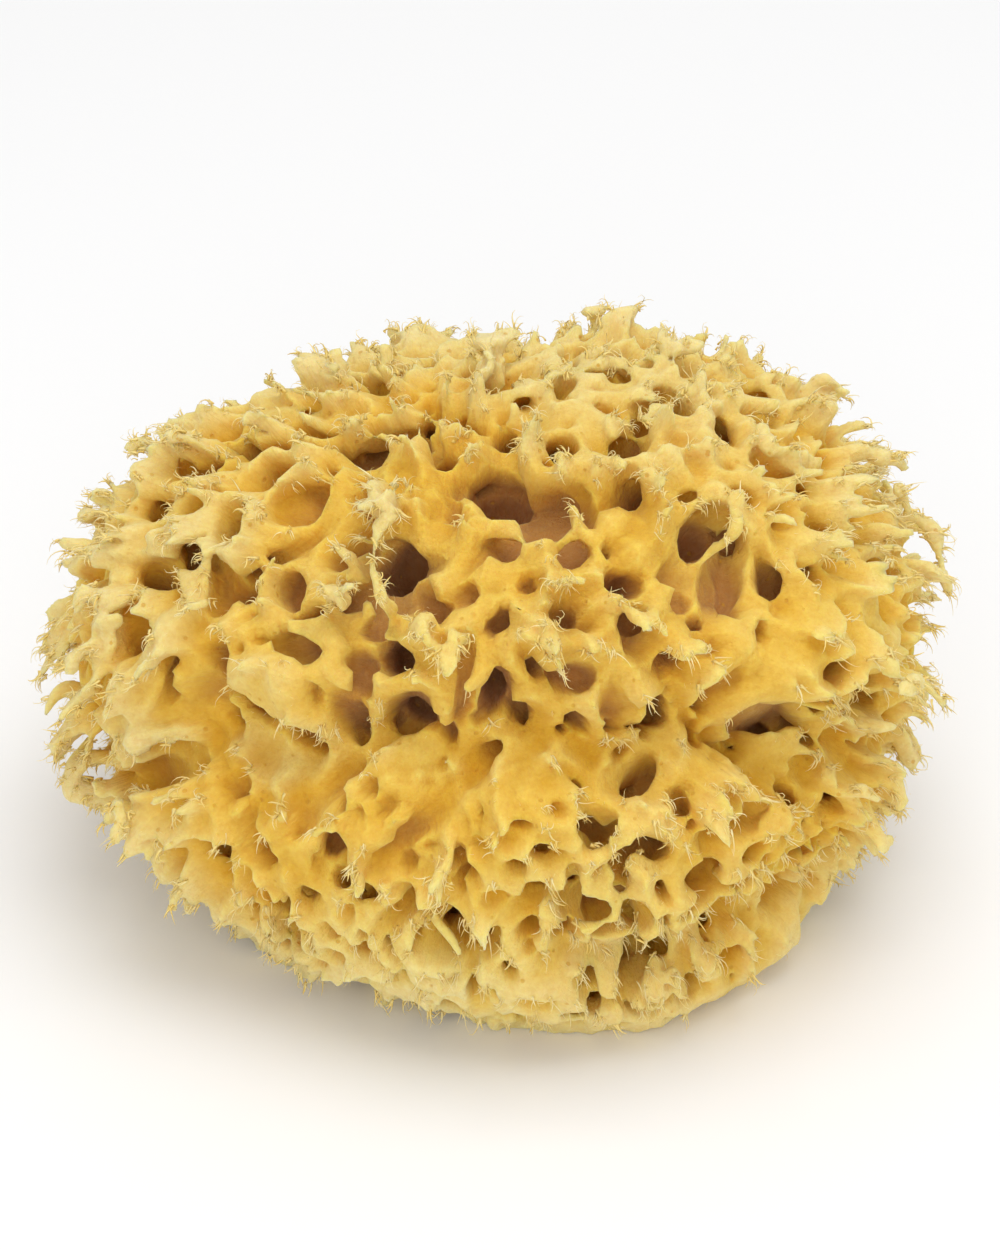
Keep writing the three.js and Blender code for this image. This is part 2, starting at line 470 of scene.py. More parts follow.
    def __post_init__(self) -> None:
        """Lays out the grids: directions, depths, bent places and the room of each kind of hollow.

        The bent places are the lattice points moved a little, and let down near the tips, so that
        passages drawn straight on them come out crooked and the fringes droop.
        """
        self.rng = np.random.default_rng(self.seed)
        x, y, z = self.lattice.points()
        aim, distance = self.envelope.aim_from_core(x, y, z)
        self.depth = (self.envelope.radius(aim) - distance - self.inset).astype(np.float32)
        self.floor = z  # height over the cut
        self.plain = [x, y, z]
        self.aim = aim.astype(np.float32)
        height = np.clip(1.0 - self.depth / self.relief, 0.0, 1.3)
        # How far each point lies over a slope that meets the body along the lower front.
        over = (z - self.envelope.core[2]) * 0.82 + y * 0.57 + 6 * MM
        sag = (self.droop + self.fringe_droop * bell(over / (9 * MM))) * height**2
        above = z - self.envelope.core[2] + sag
        self.depth -= self.envelope.creases(self.aim, y, above).astype(np.float32)
        for mound in self.trims:
            self.depth += mound.rise(self.aim)
        self.bent = []
        for plain in self.plain:
            swell = self.lattice.swell(16 * MM, self.rng) + 0.55 * self.lattice.swell(6.5 * MM, self.rng)
            swell += 0.2 * self.lattice.swell(3.2 * MM, self.rng)
            self.bent.append(plain + self.warp * swell)
        self.bent[2] += sag
        self.fine = self.fineness(self.aim)
        self.hollow = np.full(x.shape, self.far, np.float32)
        self.nicks = np.full(x.shape, self.far, np.float32)
        self.wells = np.full(x.shape, self.far, np.float32)

    def fineness(self, aim: np.ndarray) -> np.ndarray:
        """The scale of the web in each direction: coarse in front and finer round the sides and back."""
        coarse_reach, change = 35.0, 45.0
        return 1.0 - self.fine_share * smoothstep((angle_from(aim, 0, 35) - coarse_reach) / change)

    @staticmethod
    def calm(aim: np.ndarray) -> np.ndarray:
        """How smooth the body is in each direction: most on the lower right of the front."""
        azimuth, elevation, spread = 18, -9, 30.0
        return bell(angle_from(aim, azimuth, elevation) / spread)

    @staticmethod
    def lip(aim: np.ndarray, height: np.ndarray) -> np.ndarray:
        """How much a point belongs to the smooth trimmed lip at the lower right.

        Args:
            aim: its direction from the core.
            height: its height over the cut.

        Returns:
            A share from 0 to 1.
        """
        middle, half_turn, top, fade = 42, 27, 5 * MM, 4 * MM
        turned = (azimuth_of(aim) - middle) / half_turn
        return bell(turned**2) * (1.0 - smoothstep((height - top) / fade))

    def carve(self, start: np.ndarray, end: np.ndarray, first: float, last: float, blend: float) -> None:
        """Hollows out a round passage, with a radius at either end, that shapes the walls round it."""
        self.cut(self.hollow, start, end, (first, last), blend, self.far)

    def cut(
        self,
        room: np.ndarray,
        start: np.ndarray,
        end: np.ndarray,
        radii: tuple[float, float],
        blend: float,
        reach: float,
        straight: bool = False,
    ) -> None:
        """Adds a round passage to a grid of distances from the nearest hollow.

        Args:
            room: the grid.
            start: one end of the passage's middle line.
            end: the other end.
            radii: its radius at either end.
            blend: how softly it runs into the passages it meets.
            reach: how far from it the distances still matter.
            straight: whether it runs straight, and not as the web is bent.
        """
        wide, narrow = radii
        margin = max(wide, narrow) + reach + 3 * self.warp
        block = self.lattice.block(np.minimum(start, end) - margin, np.maximum(start, end) + margin)
        if block is None:
            return
        line = (end - start).astype(np.float32)
        space = self.plain if straight else self.bent
        gap = [space[axis][block] - np.float32(start[axis]) for axis in range(3)]
        share = (gap[0] * line[0] + gap[1] * line[1] + gap[2] * line[2]) / (float(line @ line) + 1e-12)
        np.clip(share, 0.0, 1.0, out=share)
        for axis in range(3):
            gap[axis] -= share * line[axis]
        away = np.sqrt(gap[0] ** 2 + gap[1] ** 2 + gap[2] ** 2) - (wide + (narrow - wide) * share)
        here = room[block]
        mix = np.clip(0.5 + 0.5 * (here - away) / blend, 0.0, 1.0)
        room[block] = here * (1 - mix) + away * mix - blend * mix * (1 - mix)

    def nick(
        self, start: np.ndarray, end: np.ndarray, first: float, last: float, straight: bool = False
    ) -> None:
        """Cuts out a round passage, with a radius at either end, and leaves the walls as they are."""
        self.cut(self.nicks, start, end, (first, last), self.nick_blend, self.nick_reach, straight)

    def closed(self, aim: np.ndarray, place: np.ndarray) -> bool:
        """Whether a place is too near the cut, or on the smooth lip, so that no canal opens there."""
        return bool(place[2] < self.lowest_mouth or self.lip(aim, place[2]) > self.most_lip)

    def canals(self) -> list[Canal]:
        """The main canals, then smaller ones in whatever room is left between their mouths.

        Returns:
            The canals, the main ones first.
        """
        found = [Canal(a, e, r * MM, d * MM, True) for a, e, r, d in self.front]
        places = [self.envelope.skin(heading(canal.azimuth, canal.elevation)) for canal in found]
        self.mouths = Mouths(np.array(places), np.array([canal.radius for canal in found]))
        # The usual radii in mm and how common each is; the calm side has finer canals of its own.
        sizes, shares, calm_side = (4.0, 3.2, 2.6, 2.0), (0.16, 0.26, 0.30, 0.28), 0.45
        for index in range(self.canal_tries):
            elevation = math.degrees(math.asin(self.rng.uniform(-0.75, 1.0)))
            azimuth = self.rng.uniform(-180, 180)
            if index % 7 == 0:  # one try in seven goes to the lower right of the front
                azimuth, elevation = self.rng.uniform(-2, 56), self.rng.uniform(-30, 10)
            aim = heading(azimuth, elevation)
            fine = float(self.fineness(aim))
            radius = self.rng.choice(sizes, p=shares) * MM * fine
            wall = self.rng.uniform(1.3, 3.9) * MM * fine
            if float(self.calm(aim)) > calm_side:
                radius = self.rng.uniform(1.1, 2.2) * MM
                wall = self.rng.uniform(1.0, 2.2) * MM
            depth = self.rng.uniform(5, 14) * MM * fine + radius
            place = self.envelope.skin(aim)
            if not self.closed(aim, place) and self.mouths.room(place, radius + wall):
                self.mouths.add(place, radius)
                found.append(Canal(azimuth, elevation, radius, depth))
        return found

    def furrow_canals(self, rng: np.random.Generator) -> list[Canal]:
        """Small canals in the room that is left between the mouths along the furrow.

        Args:
            rng: source of their places and sizes.

        Returns:
            The new canals.
        """
        found = []
        for _ in range(self.furrow_tries):
            azimuth, elevation = rng.uniform(-46, 56), rng.uniform(-27, 9)
            radius, wall = rng.uniform(1.2, 2.0) * MM, rng.uniform(0.7, 1.4) * MM
            aim = heading(azimuth, elevation)
            place = self.envelope.skin(aim)
            if not self.closed(aim, place) and self.mouths.room(place, radius + wall):
                self.mouths.add(place, radius)
                found.append(Canal(azimuth, elevation, radius, rng.uniform(6, 14) * MM))
        return found

    def hollow_canals(self) -> None:
        """Carves every canal."""
        for canal in self.canals():
            self.hollow_canal(canal, self.rng)
        rng = np.random.default_rng(21)
        for canal in self.furrow_canals(rng):
            self.hollow_canal(canal, rng)

    def hollow_canal(self, canal: Canal, rng: np.random.Generator) -> None:
        """Carves a canal, narrower inside and flared at the mouth.

        Args:
            canal: the canal.
            rng: source of its slant and of the two or three ways that run side by side in it.
        """
        flare, root, outside, well = 1.5, 4 * MM, 10 * MM, 19 * MM
        aim = heading(canal.azimuth, canal.elevation)
        lean = rng.normal(0, 0.08 if canal.main else 0.22, 3)
        out = (aim + heading(0, 35) if canal.main else aim) + lean
        out /= np.linalg.norm(out)
        neck = self.envelope.skin(aim, root)
        inner = neck - out * (canal.depth - root)
        for _ in range(rng.integers(2, 4)):
            side = np.cross(out, rng.normal(0, 1, 3))
            side *= canal.radius * rng.uniform(0.3, 0.6) / np.linalg.norm(side)
            radius = canal.radius * rng.uniform(0.6, 0.85)
            tilt = neck + out * outside + side * 1.8
            self.carve(inner + side * 0.5, neck + side, radius * 0.8, radius, self.blend)
            self.carve(neck + side, tilt, radius, radius * flare, self.blend)
        if canal.main and canal.depth > well:
            radii = (canal.radius * 0.9, canal.radius * 0.75)
            self.cut(self.wells, neck - out * 7 * MM, inner + out * 2 * MM, radii, self.blend, 1.0 * MM)
        if canal.main:
            end = inner + rng.normal(0, 4 * MM, 3)
            self.carve(inner, end, canal.radius * 0.8, canal.radius * 0.9, self.blend)

    def cut_nicks(self) -> None:
        """Cuts notches in the outer edges, which leave fine points between them."""
        turns = self.rng.uniform(-180, 180, self.nick_tries)
        rises = np.degrees(np.arcsin(self.rng.uniform(-0.75, 1.0, self.nick_tries)))
        aims = np.array([heading(turn, rise) for turn, rise in zip(turns, rises)])
        places = self.envelope.skin(aims)
        calm_side = 0.5  # two nicks in three are left out there
        for index in spaced(places, np.arange(self.nick_tries), self.nick_gap):
            spared = self.calm(aims[index]) > calm_side and index % 3 > 0
            if spared or self.lip(aims[index], places[index, 2]) > self.most_lip:
                continue
            out = aims[index] + self.rng.normal(0, 0.18, 3)
            out /= np.linalg.norm(out)
            inner = places[index] - out * self.rng.uniform(2.5, 8.5) * MM
            outer = places[index] + out * 2 * MM
            self.nick(inner, outer, 0.25 * MM, self.rng.uniform(0.7, 1.5) * MM)

    def any_aim(self, lowest: float) -> np.ndarray:
        """A random direction from the core, evenly spread over the round above a lowest Z."""
        azimuth = self.rng.uniform(-180, 180)
        return heading(azimuth, math.degrees(math.asin(self.rng.uniform(lowest, 1.0))))

    def hollow_chambers(self) -> None:
        """Carves short passages under the skin that join the canals."""
        for _ in range(self.chambers):
            aim = self.any_aim(-0.8)
            middle = self.envelope.skin(aim, self.rng.uniform(8, 15) * MM)
            along = self.rng.normal(0, 1, 3)
            along *= self.rng.uniform(3, 9) * MM / np.linalg.norm(along)
            radius = self.rng.uniform(1.3, 3.0) * MM
            if middle[2] > -2 * MM:
                last = radius * self.rng.uniform(0.7, 1.1)
                self.carve(middle - along, middle + along, radius, last, self.blend)

    def hollow_pores(self) -> None:
        """Carves fine pores through the outer walls."""
        for _ in range(self.pores):
            aim = self.any_aim(-0.75)
            middle = self.envelope.skin(aim, 3 * MM)
            out = aim + self.rng.normal(0, 0.35, 3)
            out /= np.linalg.norm(out)
            radius = self.rng.uniform(0.7, 1.2) * MM
            inner = middle - out * self.rng.uniform(4, 8) * MM
            self.carve(inner, middle + out * 8 * MM, radius, radius, 0.5 * MM)

    def open_cut(self) -> np.ndarray:
        """Distances from the canals that the flat cut has opened.

        Returns:
            One distance for each lattice point.
        """
        room = np.full(self.hollow.shape, self.far, np.float32)
        for index in range(self.opened):
            turn = math.radians(GOLDEN_TURN * index)
            away = 42 * MM * math.sqrt((index + 0.5) / self.opened)
            foot = np.array((1.15 * away * math.cos(turn), away * math.sin(turn), -2 * MM))
            foot[:2] += self.rng.normal(0, 1.5 * MM, 2)
            rise = np.array((0.0, 0.0, self.rng.uniform(7, 14) * MM)) + self.rng.normal(0, 2 * MM, 3)
            radius = self.rng.uniform(1.3, 3.6) * MM
            self.cut(room, foot, foot + rise, (radius * 1.3, radius * 0.7), self.blend, 1.0 * MM)
        return room

    def cut_slot(self) -> None:
        """Cuts the crescent slit in the lower front."""
        azimuth, elevation, half_turn, bow = 19, -27, 5.5, 4.5
        for share in np.linspace(-1.0, 1.0, 9):
            out = heading(azimuth + half_turn * share, elevation + bow * share**2)
            skin = self.envelope.skin(out)
            radius = 1.3 * MM * (1.0 - 0.5 * share**2)
            self.nick(skin - out * 9 * MM, skin + out * 4 * MM, radius, radius)

    def cut_windows(self) -> None:
        """Cuts the two gaps behind the loop at the left edge, right through from front to back."""
        through = np.array((-0.092, 0.796, -0.598)) * 30 * MM
        for x, z, radius in self.windows:
            middle = np.array((x, 0.0, z)) * MM
            self.nick(middle - through, middle + through, radius * MM, radius * MM, True)

    def span(
        self, value: np.ndarray, rods: list[Rod], blend: float, straight: bool = False
    ) -> np.ndarray:
        """Adds round rods to the field.

        Args:
            value: the field so far.
            rods: the two ends of each rod, and its radius at either.
            blend: how softly the rods run into each other.
            straight: whether they run straight, and not as the web is bent.

        Returns:
            The field with the rods.
        """
        free = np.full(value.shape, self.far, np.float32)
        for start, end, first, last in rods:
            self.cut(free, start, end, (first, last), blend, 1.0 * MM, straight)
        return np.maximum(value, -free)

    def span_loop(self, value: np.ndarray) -> np.ndarray:
        """Adds the smooth loop that stands out from the left edge.

        Args:
            value: the field so far.

        Returns:
            The field with the loop.
        """
        line = [np.array((x * MM, self.loop_y, z * MM)) for x, z, _ in self.loop]
        radii = [radius * MM for _, _, radius in self.loop]
        return self.span(value, list(zip(line[:-1], line[1:], radii[:-1], radii[1:])), 0.8 * MM, True)

    def span_strands(self, value: np.ndarray) -> np.ndarray:
        """Adds thin sagging strands across some wide mouths.

        Args:
            value: the field so far.

        Returns:
            The field with the strands.
        """
        sag = np.array((0.0, 0.0, 1.2 * MM))
        rods = []
        for first, second, radius in self.strands:
            ends = [self.envelope.skin(heading(a, e), d * MM) for a, e, d in (first, second)]
            middle = 0.5 * (ends[0] + ends[1]) - sag
            line = [ends[0], 0.5 * (ends[0] + middle), middle, 0.5 * (ends[1] + middle), ends[1]]
            radii = [radius * MM * share for share in (1.7, 1.1, 1.0, 1.1, 1.7)]
            rods += zip(line[:-1], line[1:], radii[:-1], radii[1:])
        return self.span(value, rods, 0.4 * MM)

    def radial_swell(self, size: float) -> np.ndarray:
        """Random streaks that run outwards, so that they cut an edge into teeth.

        Args:
            size: the distance between streaks.

        Returns:
            One value for each lattice point, with a spread of 1 near the skin.
        """
        counts = [int((high - low) / size) + 4 for low, high in zip(self.lattice.low, self.lattice.high)]
        heights = self.rng.standard_normal(counts).astype(np.float32)
        near = (self.depth > -1.5 * MM) & (self.depth < 1.3 * self.relief)
        reach = self.depth[near] * 0.82
        place = []
        for axis in range(3):
            spot = self.bent[axis][near] + self.aim[..., axis][near] * reach
            spot = (spot - self.lattice.low[axis]) / size + 1.0
            place.append(np.clip(spot, 0.0, counts[axis] - 1.001))
        first = [part.astype(np.int32) for part in place]
        value = between(heights, first, [smoothstep(p - f) for p, f in zip(place, first)])
        out = np.zeros(self.depth.shape, np.float32)
        out[near] = value / value.std()
        return out

    def solid(self) -> np.ndarray:
        """The field of the carved body: above 0 inside the fibre and below 0 in the open.

        Returns:
            One value for each lattice point.
        """
        swell = self.lattice.swell
        # The tufts: low near the cut and on the calm side, and hardly any on the lip.
        low_band = smoothstep((self.floor - 4 * MM) / (26 * MM))
        relief = self.root_relief + (self.relief - self.root_relief) * low_band
        coarse = (self.fine - (1.0 - self.fine_share)) / self.fine_share
        relief = relief * (1.0 - 0.5 * self.calm(self.aim) + 0.25 * coarse)
        relief = relief * (1.0 + 0.22 * swell(15 * MM, self.rng)) + 0.7 * MM * swell(5 * MM, self.rng)
        relief = np.clip(relief, 1.5 * MM, 1.4 * self.relief)
        lip = self.lip(self.aim, self.floor)
        relief = relief * (1.0 - lip) + 0.8 * MM * lip
        folds = np.abs(np.sin(np.radians(azimuth_of(self.aim) * 9.0) + 2.0 * swell(14 * MM, self.rng)))
        dents = 0.6 * MM * (1.0 - folds) ** 2 + 0.8 * MM * swell(5 * MM, self.rng)
        self.depth -= (lip * dents).astype(np.float32)
        # A wall narrows towards its tip and ends in teeth.
        height = np.clip((relief - self.depth) / relief, 0.0, 2.0)
        width = self.tip_width * self.fine * (1.0 + 0.2 * swell(9 * MM, self.rng))
        teeth = 1.0 + 0.36 * self.radial_swell(2.2 * MM) + 0.26 * self.radial_swell(1.2 * MM)
        field_value = self.hollow - width * height**self.taper * np.clip(teeth, 0.15, 2.2)
        field_value = np.minimum(field_value, self.nicks)
        field_value = np.minimum(field_value, self.depth)
        field_value = np.maximum(field_value, self.depth - self.core_depth)
        field_value = np.minimum(field_value, np.minimum(self.open_cut(), self.wells))
        return np.minimum(field_value, self.floor)

    def grow(self) -> np.ndarray:
        """Carves all passages and gives the field, softened a little.

        Returns:
            The finished field, one value for each lattice point.
        """
        self.hollow_canals()
        self.hollow_chambers()
        self.hollow_pores()
        self.cut_nicks()
        self.cut_slot()
        self.cut_windows()
        value = self.span_loop(self.span_strands(self.solid()))
        for axis in range(3):
            side = np.moveaxis(value, axis, 0)
            side[1:-1] = 0.5 * side[1:-1] + 0.25 * (side[:-2] + side[2:])
        for axis in range(3):
            side = np.moveaxis(value, axis, 0)
            side[0] = side[-1] = -self.far
        return value

    def crowding(self, value: np.ndarray, reach: float, passes: int = 3) -> np.ndarray:
        """The share of the space round each point that is fibre.

        Args:
            value: the finished field.
            reach: half the width of each box average.
            passes: how many box averages are taken.

        Returns:
            One share for each point, high deep in a pit and low on a tip.
        """
        share = (value > 0.0).astype(np.float32)
        step = max(int(round(reach / self.lattice.pitch)), 1)
        for _ in range(passes):
            for axis in range(3):
                run = np.cumsum(np.moveaxis(share, axis, 0), axis=0, dtype=np.float32)
                ends = np.minimum(np.arange(len(run)) + step, len(run) - 1)
                starts = np.arange(len(run)) - step - 1
                low = np.where((starts >= 0)[:, None, None], run[np.maximum(starts, 0)], 0.0)
                share = np.moveaxis((run[ends] - low) / (2 * step + 1), 0, axis)
        return share

    def store(self, mesh: bpy.types.Mesh, name: str, grid: np.ndarray) -> None:
        """Keeps a grid's values at the mesh's points as a named attribute."""
        value = self.sample(mesh, grid)
        mesh.attributes.new(name, "FLOAT", "POINT").data.foreach_set("value", value)

    def sample(self, mesh: bpy.types.Mesh, grid: np.ndarray) -> np.ndarray:
        """A grid's values at the mesh's points.

        Args:
            mesh: the mesh.
            grid: one value for each lattice point.

        Returns:
            One value for each point of the mesh.
        """
        points = np.empty(len(mesh.vertices) * 3, np.float32)
        mesh.vertices.foreach_get("co", points)
        spot = (points.reshape(-1, 3) - np.array(self.lattice.low, np.float32)) / self.lattice.pitch
        first = np.floor(spot).astype(int)
        return between(grid, list(first.T), list((spot - first).T))

    def build(self) -> bpy.types.Object:
        """Turns the field into one closed mesh and thins it.

        Returns:
            The body, which keeps at its points how deep and how crowded they are.
        """
        grid = openvdb.FloatGrid(background=self.far)
        value = self.grow()
        grid.copyFromArray(np.clip(-value, -self.far, self.far))
        points, _, quads = grid.convertToPolygons(isovalue=0.0, adaptivity=0.0)
        points, quads = self.largest(points, quads)
        points = points * self.lattice.pitch + np.array(self.lattice.low)
        points[:, 2] = np.where(points[:, 2] < 0.35 * self.lattice.pitch, 0.0, points[:, 2])
        body = mesh_piece("sponge_body", points, quads[:, ::-1])
        log.info("raw body: %d quads", len(quads))
        self.store(body.data, "depth", self.depth / (10 * MM))
        for inner, share in ((True, self.deep_share), (False, 1.0 - self.deep_share)):
            chosen = (attribute(body.data, "depth") > self.deep) == inner
            self.thin(body, chosen, self.triangles * share)
        corners = vectors(body.data.vertices, "co")
        corners[:, 2] = np.maximum(corners[:, 2], 0.0)
        body.data.vertices.foreach_set("co", corners.ravel().astype(np.float32))
        body.data.update()
        bpy.ops.object.shade_smooth()
        crowd = self.crowding(value, 2.2 * MM)
        self.store(body.data, "hollow", crowd)
        slope = [self.sample(body.data, -np.gradient(crowd, axis=axis)) for axis in range(3)]
        way = np.stack(slope, axis=-1)
        way /= np.linalg.norm(way, axis=1, keepdims=True) + 1e-6
        open_way = body.data.attributes.new("open_way", "FLOAT_VECTOR", "POINT")
        open_way.data.foreach_set("vector", way.ravel())
        return body

    @staticmethod
    def thin(body: bpy.types.Object, chosen: np.ndarray, budget: float) -> None:
        """Thins the chosen part of the body to about a number of triangles.

        Args:
            body: the body.
            chosen: whether each of its points is in that part.
            budget: the number.
        """
        mesh = body.data
        corners = np.empty(len(mesh.loops), np.int32)
        mesh.loops.foreach_get("vertex_index", corners)
        sides = np.empty(len(mesh.polygons), np.int32)
        mesh.polygons.foreach_get("loop_total", sides)
        starts = np.concatenate(([0], np.cumsum(sides)[:-1]))
        inside = np.logical_and.reduceat(chosen[corners], starts)
        triangles = int((sides[inside] - 2).sum())
        log.info("part of the body: %d triangles to %d", triangles, budget)
        if triangles <= budget:
            return
        mesh.polygons.foreach_set("select", inside)
        edges = np.empty(len(mesh.edges) * 2, np.int32)
        mesh.edges.foreach_get("vertices", edges)
        mesh.vertices.foreach_set("select", chosen)
        mesh.edges.foreach_set("select", chosen[edges].reshape(-1, 2).all(axis=1))
        bpy.ops.object.mode_set(mode="EDIT")
        bpy.ops.mesh.decimate(ratio=budget / triangles)
        bpy.ops.object.mode_set(mode="OBJECT")

    @staticmethod
    def largest(points: np.ndarray, quads: np.ndarray) -> tuple[np.ndarray, np.ndarray]:
        """Keeps only the largest connected sheet of quads.

        Args:
            points: rows of three numbers.
            quads: rows of point numbers.

        Returns:
            The points and quads that are kept.
        """
        label = np.arange(len(points))
        while True:
            before = label.copy()
            lowest = label[quads].min(axis=1)
            for corner in range(4):
                np.minimum.at(label, quads[:, corner], lowest)
            label = label[label]
            if (label == before).all():
                break
        names, counts = np.unique(label[quads[:, 0]], return_counts=True)
        kept = quads[label[quads[:, 0]] == names[counts.argmax()]]
        used, flat = np.unique(kept, return_inverse=True)
        return points[used], flat.reshape(-1, 4)


class Nodes:
    """Adds and joins the nodes of one tree."""

    def __init__(self, tree: bpy.types.NodeTree) -> None:
        """Keeps the tree."""
        self.tree = tree

    def add(self, kind: str, settings: dict | None = None, **inputs: object) -> bpy.types.Node:
        """Adds a node.

        Args:
            kind: the node's type name.
            settings: properties of the node itself.
            inputs: its inputs, each a value or a socket to join. They go by name, with _ for a
                space, or by number, as i0 and i1.

        Returns:
            The new node.
        """
        node = self.tree.nodes.new(kind)
        for name, value in (settings or {}).items():
            setattr(node, name, value)
        for name, value in inputs.items():
            numbered = name[0] == "i" and name[1:].isdigit()
            key = int(name[1:]) if numbered else name.replace("_", " ")
            self.put(node.inputs[key], value)
        return node

    def put(self, socket: Socket, value: object) -> None:
        """Joins a socket to an input, or sets the input's own value.

        Args:
            socket: the input.
            value: an output to join to it, or a value.
        """
        if isinstance(value, Socket):
            self.tree.links.new(value, socket)
        else:
            socket.default_value = value

    def maths(self, operation: str, first: object, second: object = 0.0) -> Socket:
        """The result of one sum on two values or sockets."""
        return self.add("ShaderNodeMath", {"operation": operation}, i0=first, i1=second).outputs[0]

    def vector(self, operation: str, first: object, second: object = (0.0, 0.0, 0.0)) -> bpy.types.Node:
        """The node of one sum on two vectors."""
        return self.add("ShaderNodeVectorMath", {"operation": operation}, i0=first, i1=second)

    def facing(self, ray: Socket, azimuth: float, elevation: float) -> Socket:
        """How nearly a direction points towards an azimuth and elevation: 1 where it does."""
        return self.vector("DOT_PRODUCT", ray, tuple(heading(azimuth, elevation))).outputs["Value"]

    def noise(self, place: Socket, scale: float, **shape: float) -> Socket:
        """A cloud of random greys; shape may give its detail and roughness."""
        return self.add("ShaderNodeTexNoise", Vector=place, Scale=scale, **shape).outputs["Fac"]

    def reading(self, name: str) -> Socket:
        """The value that a mesh keeps at its points under a name."""
        return self.add("ShaderNodeAttribute", {"attribute_name": name}).outputs["Fac"]

    def ramp(self, value: object, low: float, high: float, start: float = 0.0, end: float = 1.0) -> Socket:
        """A smooth ramp.

        Args:
            value: the value or socket that it follows.
            low: where it starts to change.
            high: where it stops changing.
            start: its result up to low.
            end: its result from high on.

        Returns:
            The result.
        """
        node = self.add(
            "ShaderNodeMapRange",
            {"interpolation_type": "SMOOTHSTEP"},
            Value=value,
            From_Min=low,
            From_Max=high,
            To_Min=start,
            To_Max=end,
        )
        return node.outputs["Result"]

    def mix(self, share: object, first: object, second: object, blend: Blend = Blend.OVER) -> Socket:
        """The first colour with a share of the second laid over it.

        Args:
            share: how much of the second shows, from 0 to 1.
            first: the colour underneath.
            second: the colour on top.
            blend: how it is laid.

        Returns:
            The mixed colour.
        """
        node = self.add("ShaderNodeMix", {"data_type": "RGBA", "blend_type": blend.value})
        self.put(node.inputs[0], share)
        self.put(node.inputs[6], first)
        self.put(node.inputs[7], second)
        return node.outputs[2]


def colour(red: float, green: float, blue: float) -> Colour:
    """A linear colour from screen values of 0 to 255, by the usual sRGB curve."""
    return (*(((c / 255 + 0.055) / 1.055) ** 2.4 for c in (red, green, blue)), 1.0)


